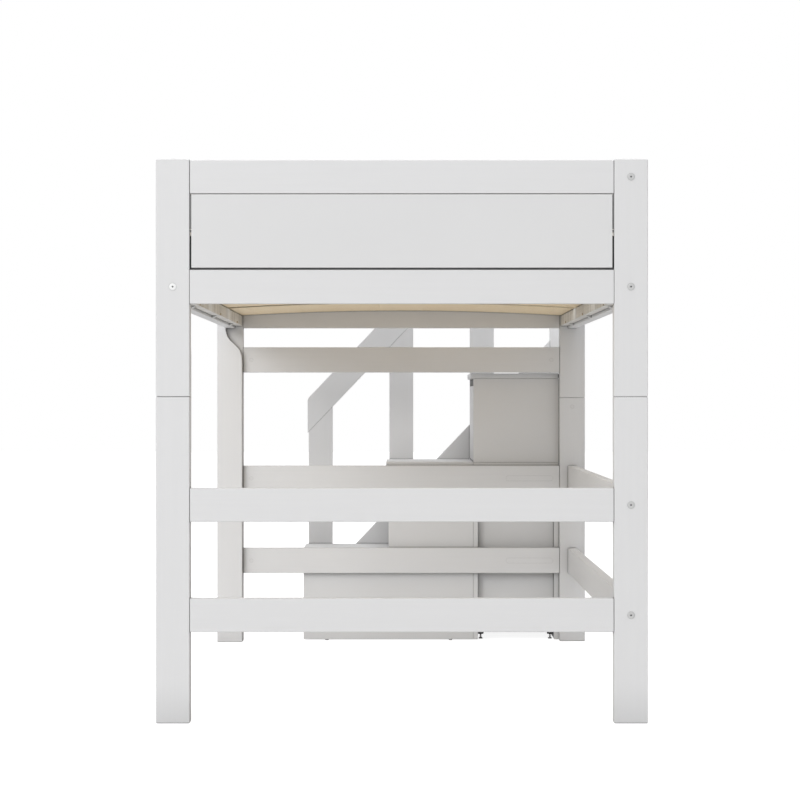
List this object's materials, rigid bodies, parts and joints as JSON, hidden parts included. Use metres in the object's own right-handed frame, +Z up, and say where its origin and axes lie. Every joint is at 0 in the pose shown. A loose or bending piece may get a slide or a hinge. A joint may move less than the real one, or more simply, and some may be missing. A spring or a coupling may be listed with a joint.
{
  "type": "loft bed with storage staircase",
  "caption": "White wooden loft bed with guard boards and a cambered slatted base, reached by a staircase across its foot with drawers in the steps and a handrail.",
  "frame": {"origin": "on the floor, under the middle of the whole object's bounding box", "axes": "+Z up, +X across the bed towards its closed long side, +Y along the bed towards the staircase"},
  "size_m": [1.325, 2.5418, 1.52],
  "materials": {
    "white_paint": "satin white paint on solid wood",
    "white_board": "satin white paint on board",
    "birch_ply": "clear matt on bent plywood",
    "beige_wood": "thin matt wash on solid wood",
    "drawer_board": "matt white drawer sides"
  },
  "bodies": {
    "bed": {"baluster_1": "white_paint", "baluster_2": "white_paint", "baluster_3": "white_paint", "box_end": "white_board", "box_side_bed": "white_board", "box_side_room": "white_board", "column_back": "white_board", "column_base": "white_board", "column_left": "white_board", "column_right": "white_board", "column_top": "white_paint", "entry_stile": "white_paint", "far_bed_rail": "white_paint", "far_guard_rail": "white_paint", "far_infill": "white_board", "far_left_leg": "white_paint", "far_left_post": "white_paint", "far_leg_plate": "white_paint", "far_low_rail": "white_paint", "far_mid_rail": "white_paint", "far_right_leg": "white_paint", "far_right_post": "white_paint", "far_step_rail": "white_paint", "handrail": "white_paint", "left_bed_rail": "white_paint", "left_guard_rail": "white_paint", "left_infill": "white_board", "left_ledger": "beige_wood", "lower_rail": "white_paint", "near_bed_rail": "white_paint", "near_guard_rail": "white_paint", "near_infill": "white_board", "near_left_leg": "white_paint", "near_left_post": "white_paint", "near_leg_plate": "white_paint", "near_low_rail": "white_paint", "near_mid_rail": "white_paint", "near_right_leg": "white_paint", "near_right_post": "white_paint", "newel": "white_paint", "right_bed_rail": "white_paint", "right_guard_rail": "white_paint", "right_infill": "white_board", "right_ledger": "beige_wood", "right_low_rail": "white_paint", "right_mid_rail": "white_paint", "slat_panel_1": "birch_ply", "slat_panel_2": "birch_ply", "slat_panel_3": "birch_ply", "stair_side_bed": "white_board", "stair_side_room": "white_board", "tread_1": "white_paint", "tread_2": "white_paint", "tread_3": "white_paint"},
    "drawer_1": {"drawer_1_front": "white_paint", "drawer_1_box": "drawer_board"},
    "drawer_2": {"drawer_2_front": "white_paint", "drawer_2_box": "drawer_board"},
    "drawer_3": {"drawer_3_front": "white_paint", "drawer_3_box": "drawer_board"}
  },
  "joints": [
    {"name": "drawer_1_slide", "type": "slide", "parent": "bed", "child": "drawer_1", "axis": [-1, 0, 0], "range_m": [0, 0.42]},
    {"name": "drawer_2_slide", "type": "slide", "parent": "bed", "child": "drawer_2", "axis": [-1, 0, 0], "range_m": [0, 0.2]},
    {"name": "drawer_3_slide", "type": "slide", "parent": "bed", "child": "drawer_3", "axis": [-1, 0, 0], "range_m": [0, 0.2]}
  ]
}
